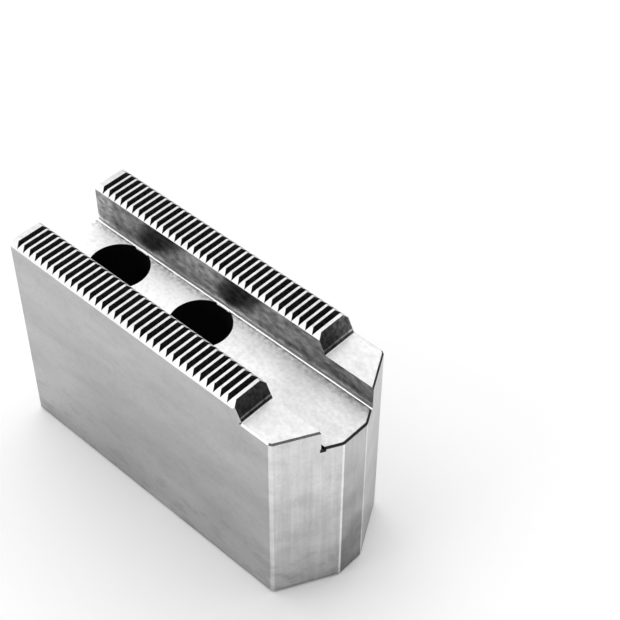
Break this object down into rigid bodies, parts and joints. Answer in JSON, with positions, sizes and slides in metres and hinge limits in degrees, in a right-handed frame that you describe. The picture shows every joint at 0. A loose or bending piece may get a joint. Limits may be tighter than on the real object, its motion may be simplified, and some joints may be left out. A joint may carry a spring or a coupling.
{
  "type": "hard chuck jaw",
  "caption": "Hard top jaw for a power chuck: a ground steel block with a blunt pointed nose, serrated pads beside a relieved key slot, and counterbored screw holes.",
  "frame": {"origin": "under the middle of the block, on the plain front face that the jaw lies on", "axes": "+X runs along the jaw from its back face to the blunt nose that faces the work, +Y across it, +Z from the front face up through the screw holes to the serrated side"},
  "size_m": [0.0664, 0.0264, 0.043],
  "materials": {
    "ground_steel": "surface ground, satin"
  },
  "bodies": {
    "root": {"chuck_jaw": "ground_steel"}
  },
  "joints": []
}
